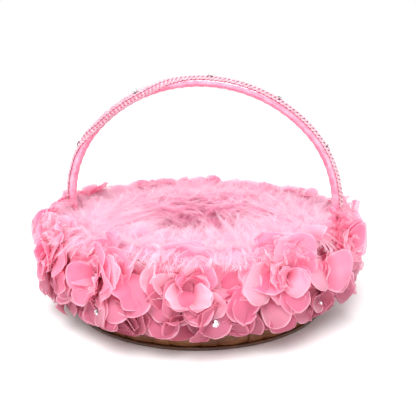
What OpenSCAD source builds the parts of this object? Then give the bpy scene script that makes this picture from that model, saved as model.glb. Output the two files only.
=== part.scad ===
/* [Overall] */
// Width and depth over the petals
overall_w = 310; // [300:1:320]
// Height to the top of the highest stone on the handle
overall_h = 210; // [205:1:215]

/* [Bowl] */
// Height of the woven wall's top edge
rim_z = 78; // [76:1:80]
// Slope of the wall and of the handle's legs from upright, degrees
wall_tilt = 12; // [11:0.5:13]
// Thickness of the woven wall
wall_t = 3; // [2.5:0.5:3.5]
// Thickness of the base board
board_t = 4; // [3:0.5:5]
// Height of the foot ring
foot_h = 3; // [2.5:0.5:4]
// Thickness of the hoop round the rim
hoop_t = 2.4; // [2:0.2:2.6]
// Height of the hoop round the rim
hoop_h = 12; // [10:1:14]

/* [Lining] */
// Thickness of the satin liner
liner_t = 1; // [0.8:0.1:1.2]
// Thickness of the padded floor
floor_t = 3; // [2:0.5:4]

/* [Feather trim] */
// Radius of the feather trim's roll
trim_r = 22.5; // [21:0.5:23]
// Height of the roll's middle
trim_z = 66; // [65:0.5:67]
// Half of the gap left for each leg of the handle, degrees
trim_gap = 3; // [3:0.5:5]

/* [Handle] */
// Half of the handle's span at its widest
span_half = 128.5; // [127.5:0.5:128.5]
// Height at which the handle is widest
span_z = 88; // [88:0.5:90]
// Height of the legs' lower ends
leg_end_z = 14; // [13:1:20]
// Radius of the bent rod
core_r = 3.2; // [3:0.1:3.3]
// Thickness of the wound satin
satin_t = 1.2; // [1.1:0.1:1.3]
// Thickness of the braid
braid_t = 1.4; // [1.2:0.1:1.6]
// Half of the angle that the braid covers round the handle
braid_half_deg = 62; // [50:1:70]
// Angle by which the braid twists to the front at the upper left
braid_twist_deg = 68; // [0:1:75]

/* [Nails] */
// Radius of a nail's shank
nail_r = 1; // [0.8:0.1:1.1]
// Radius of a nail's head
nail_head_r = 2.2; // [2:0.1:2.4]

/* [Flowers] */
// Number of flowers round the top of the wall
upper_count = 12; // [12]
// Number of flowers round the foot of the wall
lower_count = 10; // [10]
// Height of the upper flowers' middle
upper_z = 67; // [67:0.5:69]
// Height of the lower flowers' middle
lower_z = 23; // [22.5:0.5:23.5]
// Depth of an upper flower
upper_depth = 15; // [14:0.5:15]
// Depth of a lower flower
lower_depth = 19; // [15:0.5:20]
// Radius of a felt backing disc
backing_r = 9; // [7:0.5:10]
// Thickness of a felt backing disc
backing_t = 1.5; // [1:0.1:2]

/* [Stones] */
// Radius of a stone's flat back
stone_r = 2.9; // [2:0.1:3.2]
// Height of a stone
stone_h = 1.7; // [1.2:0.1:2]

/* [Hidden] */
function two_digits(i) = str(i < 10 ? "0" : "", i);
UPPER_NAMES = [for (i = [1:upper_count]) str("flower_upper_", two_digits(i))];
LOWER_NAMES = [for (i = [1:lower_count]) str("flower_lower_", two_digits(i))];
BOWL_NAMES = ["base_board", "foot_ring", "woven_wall", "rim_hoop", "satin_liner", "liner_floor"];
TRIM_NAMES = ["feather_trim_back", "feather_trim_front", "flower_backings", "flower_rhinestones"];
HANDLE_NAMES = ["handle_core", "handle_satin", "handle_braid", "handle_rhinestones", "handle_nails"];

$fn = 96;
eps = 0.02;
rose = "#f79ab8";
pale_rose = "#fbc4d6";
deep_rose = "#e96f94";
stained_wood = "#6b3f24";

// Handle: a three-centred arch. The shoulder arcs and the crown arc meet at 45 degrees.
joint_deg = 45;
satin_r = core_r + satin_t;
braid_r = satin_r + braid_t;
crown_stone_sag = 0.25;
arch_top_z = overall_h - braid_r - stone_h + crown_stone_sag;
radius_step = (span_half - (arch_top_z - span_z)) / (sqrt(2) - 1);
shoulder_r = span_half - radius_step * cos(joint_deg);
crown_r = shoulder_r + radius_step;
shoulder_x = radius_step * cos(joint_deg);
crown_z = arch_top_z - crown_r;
leg_top_x = shoulder_x + shoulder_r * cos(wall_tilt);
leg_top_z = span_z - shoulder_r * sin(wall_tilt);
leg_len = (leg_top_z - leg_end_z) / cos(wall_tilt);
collar_len = 0.6;
collar_step = 0.03;

// Wall: its inner face runs beside the legs, with the liner between.
function slope(z) = (z - leg_top_z) * tan(wall_tilt);
function wall_in(z) = leg_top_x + (satin_r + liner_t) / cos(wall_tilt) + slope(z);
function wall_out(z) = wall_in(z) + wall_t / cos(wall_tilt);
function hoop_out(z) = wall_out(z) + hoop_t / cos(wall_tilt);
function liner_in(z) = wall_in(z) - liner_t / cos(wall_tilt);
board_top = foot_h + board_t;
foot_w = 10;
foot_inset = 0.5;
floor_inset = 1;
hoop_z = rim_z - hoop_h;
trim_ring_r = liner_in(trim_z) - trim_r / cos(wall_tilt);

// Flowers: each is a lobed blossom under a shallow dome.
// A blossom's lobes lie at lobe_reach across and up, and a disc fills its middle.
upper_first_deg = 7;
lower_first_deg = 32.4;
upper_lobe_reach = [20, 12];
upper_lobe_r = 15;
lower_lobe_reach = [24, 8];
lower_lobe_r = 11;
blossom_fill_r = 13;
dome_reach = 42;
function dome_r(depth) = (dome_reach * dome_reach + depth * depth) / (2 * depth);
upper_dome_r = dome_r(upper_depth);
upper_back_r = (overall_w / 2 - upper_dome_r) / cos(upper_first_deg) + upper_dome_r - upper_depth;
upper_knot_z = 52;
lower_back = 5;
knot_r = 4.5;

// Stones: places along the handle from its crown, how far each turns with the braid,
// and where one sits on each lower flower.
handle_stones = [-134, -59, 10, 74, 133];
stone_roll_share = 0.6;
stone_taper = 0.55;
flower_stone_up = 13;
flower_stone_lift = 15.9;
flower_stone_lean = 12;

// Nails: heights where they go through the wall.
nail_heights = [33, 71];
nail_head_t = 0.8;
nail_gap = 0.05;
nail_bite = core_r * 2 - 1;
nail_reach = wall_t + liner_t + satin_t + nail_bite;
bore_spare = 0.5;
bore_rise = hoop_t + 1;

// Turns a shape drawn in the plane of radius (x) and height (y) into a ring about Z.
module ring() { rotate_extrude() children(); }

// Band between two faces that follow the wall's slope, as points of radius and height.
function sloped_band(in_low, in_high, z_low, z_high, width) = [
    [in_low, z_low],
    [in_low + width, z_low],
    [in_high + width, z_high],
    [in_high, z_high]
];

module base_board() {
    color(stained_wood)
        translate([0, 0, foot_h])
            cylinder(h = board_t, r = wall_in(foot_h) - eps);
}

module foot_ring() {
    outer = wall_out(foot_h) - foot_inset;
    color(stained_wood)
        ring() {
            translate([outer - foot_w, 0])
                square([foot_w, foot_h]);
            translate([outer, foot_h / 2])
                circle(r = foot_h / 2);
        }
}

module woven_wall() {
    color(stained_wood)
        difference() {
            ring() polygon(sloped_band(
                wall_in(foot_h), wall_in(rim_z), foot_h, rim_z, wall_t / cos(wall_tilt)
            ));
            nail_holes(nail_heights);
        }
}

module rim_hoop() {
    color(stained_wood)
        difference() {
            ring() polygon(sloped_band(
                wall_out(hoop_z) + eps, wall_out(rim_z) + eps, hoop_z, rim_z, hoop_t / cos(wall_tilt)
            ));
            nail_holes([nail_heights[1]]);
        }
}

module satin_liner() {
    color(pale_rose)
        difference() {
            ring() {
                polygon(sloped_band(
                    liner_in(board_top), liner_in(rim_z) - eps, board_top, rim_z + liner_t,
                    liner_t / cos(wall_tilt) - eps
                ));
                translate([liner_in(rim_z), rim_z])
                    square([hoop_out(rim_z) - liner_in(rim_z), liner_t]);
            }
            nail_holes(nail_heights);
        }
}

module liner_floor() {
    color(pale_rose)
        translate([0, 0, board_top])
            cylinder(h = floor_t, r = liner_in(board_top) - floor_inset);
}

// Half of the feather roll, from one leg of the handle to the other.
module feather_roll(start_deg) {
    color(pale_rose)
        rotate([0, 0, start_deg + trim_gap])
            rotate_extrude(angle = 180 - 2 * trim_gap)
                translate([trim_ring_r, trim_z])
                    circle(r = trim_r - eps);
}

module feather_trim_back() { feather_roll(0); }

module feather_trim_front() { feather_roll(180); }

// A rod swept along the whole handle. A thin collar at each joint makes it one solid.
module handle_rod(radius) {
    handle_sweep() circle(r = radius);
    for (side = [0, 1])
        mirror([side, 0, 0]) {
            translate([0, 0, crown_z])
                rotate([0, 90 - joint_deg, 0])
                    translate([0, 0, crown_r])
                        rotate([0, 90, 0])
                            joint_collar(radius);
            translate([leg_top_x, 0, leg_top_z])
                rotate([0, wall_tilt, 0])
                    joint_collar(radius);
        }
}

module joint_collar(radius) {
    cylinder(h = collar_len, r = radius + collar_step, center = true);
}

// A section swept along the handle's three arcs and two straight legs. A leg starts within its collar.
module handle_sweep() {
    arch_arc(0, crown_z, crown_r, joint_deg, 180 - 2 * joint_deg) children();
    for (side = [0, 1])
        mirror([side, 0, 0]) {
            arch_arc(shoulder_x, span_z, shoulder_r, -wall_tilt, joint_deg + wall_tilt) children();
            translate([leg_top_x, 0, leg_top_z])
                rotate([0, wall_tilt, 0])
                    translate([0, 0, -leg_len])
                        linear_extrude(height = leg_len - collar_len / 4) children();
        }
}

// One arc of the handle, about a centre at x, z in the handle's plane.
module arch_arc(x, z, radius, start_deg, sweep_deg) {
    translate([x, 0, z])
        rotate([90, 0, 0])
            rotate([0, 0, start_deg])
                rotate_extrude(angle = sweep_deg)
                    translate([radius, 0]) children();
}

module handle_core() {
    color("#d8b48a")
        difference() {
            handle_rod(core_r);
            nail_holes(nail_heights);
        }
}

// Carries the sleeve's bore out through the lower end of a leg.
module leg_end_bore(radius) {
    translate([leg_top_x, 0, leg_top_z])
        rotate([0, wall_tilt, 0])
            translate([0, 0, -leg_len - 1])
                cylinder(h = leg_len / 2, r = radius);
}

module handle_satin() {
    color(rose)
        difference() {
            handle_rod(satin_r);
            handle_rod(core_r + 2 * collar_step);
            for (side = [0, 1])
                mirror([side, 0, 0]) leg_end_bore(core_r + 2 * collar_step);
            nail_holes(nail_heights);
        }
}

// Handle's centre line by distance s from the crown: place and outward direction.
crown_len = crown_r * joint_deg * PI / 180;
shoulder_len = shoulder_r * (joint_deg + wall_tilt) * PI / 180;
function side_of(s) = s < 0 ? -1 : 1;
function out_deg(s) =
    abs(s) < crown_len ? 90 - abs(s) / crown_r * 180 / PI
    : abs(s) < crown_len + shoulder_len
        ? joint_deg - (abs(s) - crown_len) / shoulder_r * 180 / PI
    : -wall_tilt;
function out_dir(s) = [side_of(s) * cos(out_deg(s)), 0, sin(out_deg(s))];
function centre_at(s) =
    abs(s) < crown_len ? [0, 0, crown_z] + crown_r * out_dir(s)
    : abs(s) < crown_len + shoulder_len
        ? [side_of(s) * shoulder_x, 0, span_z] + shoulder_r * out_dir(s)
    : [side_of(s) * leg_top_x, 0, leg_top_z]
        + (abs(s) - crown_len - shoulder_len) * [-side_of(s) * sin(wall_tilt), 0, -cos(wall_tilt)];

// The braid lies on the handle's outer side and rolls to the front along the upper left.
twist_from = -132;
twist_full_from = -112;
twist_full_to = -56;
twist_to = -12;
function ease(t) = t <= 0 ? 0 : t >= 1 ? 1 : t * t * (3 - 2 * t);
function roll_at(s) = braid_twist_deg
    * ease((s - twist_from) / (twist_full_from - twist_from))
    * ease((twist_to - s) / (twist_to - twist_full_to));
function round_at(s, radius, deg) = centre_at(s) + radius * (cos(deg) * out_dir(s) + sin(deg) * [0, -1, 0]);

braid_above_leg = 14.5;
braid_end = crown_len + shoulder_len - braid_above_leg;
braid_rings = 90;
braid_sides = 6;
braid_lift = 0.03;
function braid_ring(s) = concat(
    [for (i = [0:braid_sides])
        round_at(s, braid_r, roll_at(s) + braid_half_deg * (2 * i / braid_sides - 1))],
    [for (i = [0:braid_sides])
        round_at(s, satin_r + braid_lift, roll_at(s) + braid_half_deg * (1 - 2 * i / braid_sides))]
);

module handle_braid() {
    section = 2 * (braid_sides + 1);
    points = [
        for (k = [0:braid_rings])
            each braid_ring(braid_end * (2 * k / braid_rings - 1))
    ];
    sides = [
        for (k = [0:braid_rings - 1], i = [0:section - 1])
            let (a = k * section + i, b = k * section + (i + 1) % section)
                each [[a, a + section, b], [b, a + section, b + section]]
    ];
    last = braid_rings * section;
    caps = [
        for (i = [0:braid_sides - 1])
            let (j = section - 1 - i)
                each [
                    [i, i + 1, j], [i + 1, j - 1, j],
                    [last + j, last + i + 1, last + i], [last + j, last + j - 1, last + i + 1]
                ]
    ];
    color(pale_rose)
        polyhedron(points = points, faces = concat(sides, caps), convexity = 6);
}

// A clear flat-backed stone with its back on the XY plane.
module stone() { cylinder(h = stone_h, r1 = stone_r, r2 = stone_r * stone_taper); }

module handle_rhinestones() {
    color("#eef3f6")
        for (s = handle_stones)
            translate(centre_at(s))
                rotate([0, side_of(s) * (90 - out_deg(s)), 0])
                    rotate([roll_at(s) * stone_roll_share, 0, 0])
                        translate([0, 0, braid_r + eps])
                            stone();
}

// Puts a shape on the wall's outer face at height z of each leg, with Z along the wall's normal.
module at_leg_nails(heights) {
    for (side = [0, 1], z = heights)
        mirror([side, 0, 0])
            translate([wall_out(z), 0, z])
                rotate([0, 90 + wall_tilt, 0])
                    children();
}

module nail_holes(heights) {
    at_leg_nails(heights)
        translate([0, 0, -nail_reach])
            cylinder(h = nail_reach + bore_rise, r = nail_r + nail_gap);
}

// A nail whose head stands off the wall by the thickness of what lies over it.
module nail(stand_off) {
    depth = nail_reach - bore_spare;
    translate([0, 0, -depth])
        cylinder(h = depth + stand_off + nail_gap, r = nail_r);
    translate([0, 0, stand_off + nail_gap])
        cylinder(h = nail_head_t, r = nail_head_r);
}

module handle_nails() {
    color("#b9b4ac") {
        at_leg_nails([nail_heights[0]]) nail(0);
        at_leg_nails([nail_heights[1]]) nail(hoop_t);
    }
}

// Puts a shape on the wall's outer face at height z, with Z along the wall's normal and Y up.
module on_wall(deg, z) {
    rotate([0, 0, deg])
        translate([wall_out(z), 0, z])
            rotate([90, 0, 90])
                rotate([wall_tilt, 0, 0])
                    children();
}

// Five lobes at stretched places, filled in the middle.
module blossom_outline(lobe_reach, lobe_r) {
    for (turn = [90:72:378])
        translate([lobe_reach[0] * cos(turn), lobe_reach[1] * sin(turn)])
            circle(r = lobe_r);
    circle(r = blossom_fill_r);
}

module blossom(lobe_reach, lobe_r, depth) {
    intersection() {
        linear_extrude(height = depth + 1)
            blossom_outline(lobe_reach, lobe_r);
        translate([0, 0, depth - dome_r(depth)])
            sphere(r = dome_r(depth));
    }
}

function upper_deg(i) = upper_first_deg + 360 / upper_count * (i - 1);
function lower_deg(i) = lower_first_deg + 360 / lower_count * (i - 1);

module flower_upper(i) {
    color(rose) {
        rotate([0, 0, upper_deg(i)])
            translate([upper_back_r, 0, upper_z])
                rotate([90, 0, 90])
                    blossom(upper_lobe_reach, upper_lobe_r, upper_depth);
        on_wall(upper_deg(i), upper_knot_z)
            translate([0, 0, backing_t + knot_r])
                sphere(r = knot_r);
    }
}

module flower_lower(i) {
    color(deep_rose)
        on_wall(lower_deg(i), lower_z) {
            translate([0, 0, lower_back])
                blossom(lower_lobe_reach, lower_lobe_r, lower_depth);
            translate([0, 0, backing_t + eps])
                cylinder(h = lower_back, r = knot_r);
        }
}

module flower_backings() {
    color(rose) {
        for (i = [1:upper_count])
            on_wall(upper_deg(i), upper_knot_z)
                translate([0, 0, eps])
                    cylinder(h = backing_t - eps, r = backing_r);
        for (i = [1:lower_count])
            on_wall(lower_deg(i), lower_z)
                translate([0, 0, eps])
                    cylinder(h = backing_t - eps, r = backing_r);
    }
}

module flower_rhinestones() {
    color("#eef3f6")
        for (i = [1:lower_count])
            on_wall(lower_deg(i), lower_z)
                translate([0, flower_stone_up, lower_back + flower_stone_lift])
                    rotate([-flower_stone_lean, 0, 0])
                        stone();
}

base_board();
foot_ring();
woven_wall();
rim_hoop();
satin_liner();
liner_floor();
handle_core();
handle_satin();
handle_braid();
handle_rhinestones();
handle_nails();
feather_trim_back();
feather_trim_front();
flower_backings();
flower_rhinestones();
for (i = [1:upper_count])
    flower_upper(i);
for (i = [1:lower_count])
    flower_lower(i);
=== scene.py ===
import math
from collections import namedtuple

import bpy
import numpy as np
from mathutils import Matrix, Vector
from mathutils.bvhtree import BVHTree


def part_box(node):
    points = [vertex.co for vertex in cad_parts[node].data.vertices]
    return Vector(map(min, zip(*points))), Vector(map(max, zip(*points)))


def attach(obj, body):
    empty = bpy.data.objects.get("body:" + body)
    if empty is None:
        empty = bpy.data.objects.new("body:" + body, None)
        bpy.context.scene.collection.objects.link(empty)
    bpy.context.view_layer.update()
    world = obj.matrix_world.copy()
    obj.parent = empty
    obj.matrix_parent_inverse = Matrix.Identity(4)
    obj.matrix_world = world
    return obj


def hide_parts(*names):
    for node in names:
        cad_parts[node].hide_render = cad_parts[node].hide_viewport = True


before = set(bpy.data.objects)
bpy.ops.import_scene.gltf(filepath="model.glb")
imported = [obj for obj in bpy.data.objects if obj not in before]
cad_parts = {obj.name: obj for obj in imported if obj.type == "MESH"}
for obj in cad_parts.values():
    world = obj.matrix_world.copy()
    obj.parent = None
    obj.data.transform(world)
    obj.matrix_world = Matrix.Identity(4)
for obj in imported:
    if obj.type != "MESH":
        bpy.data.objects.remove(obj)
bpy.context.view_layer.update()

MM = 0.001
TAU = 2 * math.pi
UP = np.array([0, 0, 1.0])
FRONT = np.array([0, -1.0, 0])
BODY = "root"


# ---- points and curves

def node_points(name):
    """A CAD node's vertices at rest, as rows of x, y, z in metres."""
    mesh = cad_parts[name].data
    flat = np.empty(3 * len(mesh.vertices), np.float32)
    mesh.vertices.foreach_get("co", flat)
    return flat.reshape(-1, 3).astype(float)


def radius_of(points):
    return np.hypot(points[..., 0], points[..., 1])


def stacked(*parts):
    """Arrays or numbers, spread over each other, as the columns of one array."""
    return np.stack(np.broadcast_arrays(*parts), -1)


def circle(count):
    """The angles of count equal steps round a circle."""
    return TAU * np.arange(count) / count


def round_points(radius, angle, z):
    return stacked(radius * np.cos(angle), radius * np.sin(angle), z)


def unit(vectors):
    return vectors / np.maximum(np.linalg.norm(vectors, axis=-1, keepdims=True), 1e-12)


def ease(t):
    t = np.clip(t, 0, 1)
    return t * t * (3 - 2 * t)


def soft_floor(values, least, softness):
    """Values kept above least, with a soft knee."""
    return least + softness * np.logaddexp(0, (values - least) / softness)


def soft_ceiling(values, most, softness):
    return -soft_floor(-values, -most, softness)


def clusters(points, reach):
    """Groups points that lie within reach of each other's middle."""
    groups = []
    for point in points:
        for group in groups:
            if np.linalg.norm(np.mean(group, axis=0) - point) < reach:
                group.append(point)
                break
        else:
            groups.append([point])
    return [np.array(group) for group in groups]


# ---- measures of the frame

EDGE_BAND = 0.1 * MM
WIDEST_BAND = 0.02 * MM
ARC_JOINT = math.radians(45)


class Wall:
    """The flared wall: its outer radius at any height, and its slope."""

    def __init__(self):
        points = node_points("woven_wall")
        z, radius = points[:, 2], radius_of(points)
        self.low_z, self.high_z = z.min(), z.max()
        at_low, at_high = z < self.low_z + EDGE_BAND, z > self.high_z - EDGE_BAND
        self.low_r, self.high_r = radius[at_low].max(), radius[at_high].max()
        self.thick = self.high_r - radius[at_high].min()
        self.grade = (self.high_r - self.low_r) / (self.high_z - self.low_z)
        self.tilt = math.atan(self.grade)

    def outer(self, z):
        return self.low_r + (z - self.low_z) * self.grade

    def inner(self, z):
        return self.outer(z) - self.thick


class Arch:
    """The handle's centre line: a crown arc, two shoulder arcs and two straight legs.

    A place on it is s, the length along it from the top, negative on the -X side.
    """

    def __init__(self, wall):
        points = node_points("handle_satin")
        self.rod_r = points[:, 1].max()
        span_half = points[:, 0].max() - self.rod_r
        widest = points[:, 0] > points[:, 0].max() - WIDEST_BAND
        self.span_z = points[widest, 2].mean()
        top_z = points[:, 2].max() - self.rod_r
        low_z = points[:, 2].min()
        self.tilt = wall.tilt
        step = (span_half - (top_z - self.span_z)) / (math.sqrt(2) - 1)
        self.shoulder_r = span_half - step * math.cos(ARC_JOINT)
        self.crown_r = self.shoulder_r + step
        self.shoulder_x = step * math.cos(ARC_JOINT)
        self.crown_z = top_z - self.crown_r
        self.crown_len = self.crown_r * ARC_JOINT
        self.shoulder_len = self.shoulder_r * (ARC_JOINT + self.tilt)
        leg_top = self.span_z - self.shoulder_r * math.sin(self.tilt)
        leg_len = (leg_top - low_z) / math.cos(self.tilt)
        self.half_len = self.crown_len + self.shoulder_len + leg_len

    def out(self, s):
        """Unit vectors away from the arch's middle, in its plane."""
        along, side = np.abs(s), np.where(s < 0, -1.0, 1.0)
        crown = math.pi / 2 - along / self.crown_r
        shoulder = ARC_JOINT - (along - self.crown_len) / self.shoulder_r
        angle = np.where(along < self.crown_len, crown, shoulder)
        angle = np.where(along < self.crown_len + self.shoulder_len, angle, -self.tilt)
        return stacked(side * np.cos(angle), 0, np.sin(angle))

    def centre(self, s):
        along, side, out = np.abs(s), np.where(s < 0, -1.0, 1.0), self.out(s)
        crown = self.crown_r * out + self.crown_z * UP
        hub = stacked(side * self.shoulder_x, 0, self.span_z)
        shoulder = hub + self.shoulder_r * out
        down = stacked(-side * math.sin(self.tilt), 0, -math.cos(self.tilt))
        past = np.maximum(along - self.crown_len - self.shoulder_len, 0)[..., None]
        return np.where((along < self.crown_len)[..., None], crown, shoulder + past * down)

    def around(self, s, radius, angle):
        """Points at that radius and angle round the rod; angle turns from outward to the front."""
        radius, angle = np.asarray(radius)[..., None], np.asarray(angle)[..., None]
        return self.centre(s) + radius * (np.cos(angle) * self.out(s) + np.sin(angle) * FRONT)

    def samples(self, count):
        """That many places along the arch, and their points."""
        s = np.linspace(-self.half_len, self.half_len, count)
        return s, self.centre(s)


WALL = Wall()
ARCH = Arch(WALL)


# ---- camera and light

AIM = Vector((0.0085, 0, 0.0850))
CAMERA_DISTANCE = 0.50
CAMERA_RISE = math.radians(13.5)
CAMERA_TURN = math.radians(9)
LENS = 45
SENSOR = 36

KEY_PLACE = (0.0, -0.75, 0.95)
KEY_SIZE = 0.7
KEY_POWER = 11
TOP_STRENGTH = 0.75
TOP_SPREAD = math.radians(50)
TOP_TURN = (math.radians(20), math.radians(-12), 0)
SKY_STRENGTH = 1.0


def place_in_scene(name, data):
    made = bpy.data.objects.new(name, data)
    bpy.context.scene.collection.objects.link(made)
    return made


def look_along(thing, way):
    thing.rotation_euler = way.to_track_quat("-Z", "Y").to_euler()


def add_camera():
    data = bpy.data.cameras.new("camera")
    data.lens = LENS
    data.sensor_width = SENSOR
    data.dof.use_dof = False
    camera = place_in_scene("camera", data)
    away = Vector((
        math.sin(CAMERA_TURN) * math.cos(CAMERA_RISE),
        -math.cos(CAMERA_TURN) * math.cos(CAMERA_RISE),
        math.sin(CAMERA_RISE),
    ))
    camera.location = AIM + CAMERA_DISTANCE * away
    look_along(camera, -away)
    bpy.context.scene.camera = camera


def add_light():
    """A white room, a broad key light from the front and above, and soft light from the top."""
    scene = bpy.context.scene
    world = bpy.data.worlds.new("world")
    scene.world = world
    world.use_nodes = True
    background = world.node_tree.nodes["Background"]
    background.inputs["Color"].default_value = (1, 1, 1, 1)
    background.inputs["Strength"].default_value = SKY_STRENGTH
    data = bpy.data.lights.new("key_light", "AREA")
    data.shape = "DISK"
    data.size = KEY_SIZE
    data.energy = KEY_POWER
    key = place_in_scene("key_light", data)
    key.location = KEY_PLACE
    look_along(key, AIM - Vector(KEY_PLACE))
    data = bpy.data.lights.new("top_light", "SUN")
    data.energy = TOP_STRENGTH
    data.angle = TOP_SPREAD
    place_in_scene("top_light", data).rotation_euler = TOP_TURN
    scene.view_settings.view_transform = "Standard"
    scene.cycles.max_bounces = 14
    scene.cycles.diffuse_bounces = 10
    scene.cycles.transparent_max_bounces = 16


# ---- meshes

def new_mesh(name, points, faces, material, uv=None, tint=None, smooth=True):
    """A mesh object from arrays. faces is a list of blocks of index rows; uv and tint are per point."""
    points = np.ascontiguousarray(points, np.float32).reshape(-1, 3)
    mesh = bpy.data.meshes.new(name)
    blocks = [np.asarray(block, np.int32) for block in faces]
    counts = np.concatenate([np.full(len(block), block.shape[1], np.int32) for block in blocks])
    corners = np.concatenate([block.ravel() for block in blocks])
    starts = np.concatenate([[0], np.cumsum(counts)[:-1]]).astype(np.int32)
    mesh.vertices.add(len(points))
    mesh.vertices.foreach_set("co", points.ravel())
    mesh.loops.add(len(corners))
    mesh.loops.foreach_set("vertex_index", corners)
    mesh.polygons.add(len(counts))
    mesh.polygons.foreach_set("loop_start", starts)
    mesh.update(calc_edges=True)
    if uv is not None:
        layer = mesh.uv_layers.new(name="cloth")
        layer.data.foreach_set("uv", np.asarray(uv, np.float32).reshape(-1, 2)[corners].ravel())
    if tint is not None:
        layer = mesh.attributes.new("tint", "FLOAT", "POINT")
        layer.data.foreach_set("value", np.asarray(tint, np.float32).ravel())
    mesh.polygons.foreach_set("use_smooth", np.full(len(counts), smooth))
    mesh.materials.append(material)
    mesh.validate()
    return place_in_scene(name, mesh)


def grid_faces(rows, columns, count=1, loop=False):
    """Quads of count grids, each rows x columns points; loop joins the last column to the first."""
    row = np.arange(rows - 1)[:, None]
    column = np.arange(columns if loop else columns - 1)
    beside = (column + 1) % columns
    quad = np.stack([
        row * columns + column, row * columns + beside,
        (row + 1) * columns + beside, (row + 1) * columns + column,
    ], -1).reshape(-1, 4)
    return (quad[None] + (np.arange(count) * rows * columns)[:, None, None]).reshape(-1, 4)


def fan_faces(hub, sides, first=0):
    """Triangles from a hub to a closed ring of points that starts at index first."""
    i = np.arange(sides)
    return np.stack([np.full(sides, hub), first + i, first + (i + 1) % sides], -1)


def grid_area(points):
    """Area of a grid of points, by its cells' diagonals."""
    first = points[1:, 1:] - points[:-1, :-1]
    second = points[1:, :-1] - points[:-1, 1:]
    return 0.5 * np.linalg.norm(np.cross(first, second), axis=-1).sum()


def add_piece(name, slot, node, *mesh, **shading):
    """A piece that stands for a CAD node; the rest is as for new_mesh."""
    piece = new_mesh(name, *mesh, **shading)
    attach(piece, BODY)
    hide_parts(node)
    return piece


# ---- shader helper

def srgb(red, green, blue):
    """A colour given as 0-255 screen values, in linear light."""
    return tuple(
        value / 255 / 12.92 if value <= 10 else ((value / 255 + 0.055) / 1.055) ** 2.4
        for value in (red, green, blue)
    )


class Shader:
    """A small helper that adds and joins nodes of one material."""

    def __init__(self, name):
        self.material = bpy.data.materials.new(name)
        self.material.use_nodes = True
        self.tree = self.material.node_tree
        self.bsdf = self.tree.nodes["Principled BSDF"]

    def put(self, node, inputs):
        """Gives inputs of a node, by name or number, a value or a link."""
        for key, value in dict(inputs).items():
            if isinstance(value, bpy.types.NodeSocket):
                self.tree.links.new(value, node.inputs[key])
            else:
                node.inputs[key].default_value = value
        return node

    def node(self, kind, inputs=(), **settings):
        made = self.tree.nodes.new("ShaderNode" + kind)
        for key, value in settings.items():
            setattr(made, key, value)
        return self.put(made, inputs)

    def set(self, **values):
        self.put(self.bsdf, {key.replace("_", " "): value for key, value in values.items()})
        return self.material

    def math(self, operation, *values):
        return self.node("Math", enumerate(values), operation=operation).outputs[0]

    def times(self, first, second):
        return self.math("MULTIPLY", first, second)

    def blend(self, first, share, second, second_share):
        """A weighted sum of two values."""
        return self.math("ADD", self.times(first, share), self.times(second, second_share))

    def place(self):
        return self.node("TexCoord").outputs["Object"]

    def split(self, vector):
        return self.node("SeparateXYZ", {0: vector}).outputs

    def uv(self):
        return self.split(self.node("UVMap", uv_map="cloth").outputs["UV"])[:2]

    def tint(self):
        return self.node("Attribute", attribute_name="tint").outputs["Fac"]

    def noise(self, scale, detail, where=None, rough=0.5):
        values = {"Vector": where or self.place(), "Scale": scale, "Detail": detail, "Roughness": rough}
        return self.node("TexNoise", values).outputs["Fac"]

    def stretch(self, scale):
        return self.node("Mapping", {"Vector": self.place(), "Scale": scale}).outputs["Vector"]

    def ramp(self, factor, *stops):
        made = self.node("ValToRGB", {"Fac": factor})
        elements = made.color_ramp.elements
        while len(elements) < len(stops):
            elements.new(0.5)
        for element, (position, colour) in zip(elements, stops):
            element.position = position
            element.color = (*colour, 1)
        return made.outputs["Color"]

    def span(self, value, low, high, to_low=0.0, to_high=1.0):
        values = enumerate((value, low, high, to_low, to_high))
        return self.node("MapRange", values, clamp=True).outputs[0]

    def mix(self, factor, first, second):
        values = {0: factor, 6: first, 7: (*second, 1)}
        return self.node("Mix", values, data_type="RGBA").outputs[2]

    def bump(self, height, strength, distance):
        values = {"Height": height, "Strength": strength, "Distance": distance}
        return self.node("Bump", values).outputs["Normal"]

    def mix_shader(self, factor, first, second):
        return self.node("MixShader", enumerate((factor, first, second))).outputs[0]

    def soft_cloth(self, colour, through, clear=None, normal=None):
        """Colours the surface, with some light passing through it and some clear gaps."""
        self.set(Base_Color=colour)
        glow = self.node("BsdfTranslucent", {"Color": colour})
        if normal is not None:
            self.set(Normal=normal)
            self.put(glow, {"Normal": normal})
        surface = self.mix_shader(through, self.bsdf.outputs[0], glow.outputs[0])
        if clear is not None:
            surface = self.mix_shader(clear, surface, self.node("BsdfTransparent").outputs[0])
        self.put(self.tree.nodes["Material Output"], {"Surface": surface})
        return self.material


# ---- materials

UPPER_CHIFFON = (srgb(244, 136, 174), srgb(251, 174, 203), srgb(254, 213, 227))
# Painted shade: the lower row's chiffon is a darker copy of the upper row's colours, for the shade that
# falls on it.
LOWER_CHIFFON_SHADED = (srgb(206, 104, 134), srgb(226, 134, 162), srgb(242, 172, 195))
HEART_SHADE_PINK = srgb(242, 104, 148)
LOW_SHADE_ROSE = srgb(188, 84, 112)
LOW_SHADE_BELOW, LOW_SHADE_FROM = 22 * MM, 60 * MM
DOWN_PINKS = (srgb(253, 214, 230), srgb(254, 225, 238), srgb(255, 239, 246))
DOWN_ROOT_SHADE = srgb(252, 205, 221)
RIBBON_PINKS = (srgb(232, 114, 146), srgb(240, 138, 166), srgb(247, 170, 190))
LINING_PINKS = (srgb(248, 186, 207), srgb(252, 208, 223), srgb(255, 228, 237))
YARN_PINKS = (srgb(206, 146, 164), srgb(226, 180, 193), srgb(238, 206, 215))
TAPE_SHADE_PINK = srgb(224, 134, 160)
STAINED_WOOD = (srgb(38, 20, 10), srgb(76, 42, 22), srgb(118, 72, 40))
SPLINT_WOOD = (srgb(56, 28, 13), srgb(104, 58, 28), srgb(150, 96, 54))


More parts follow.
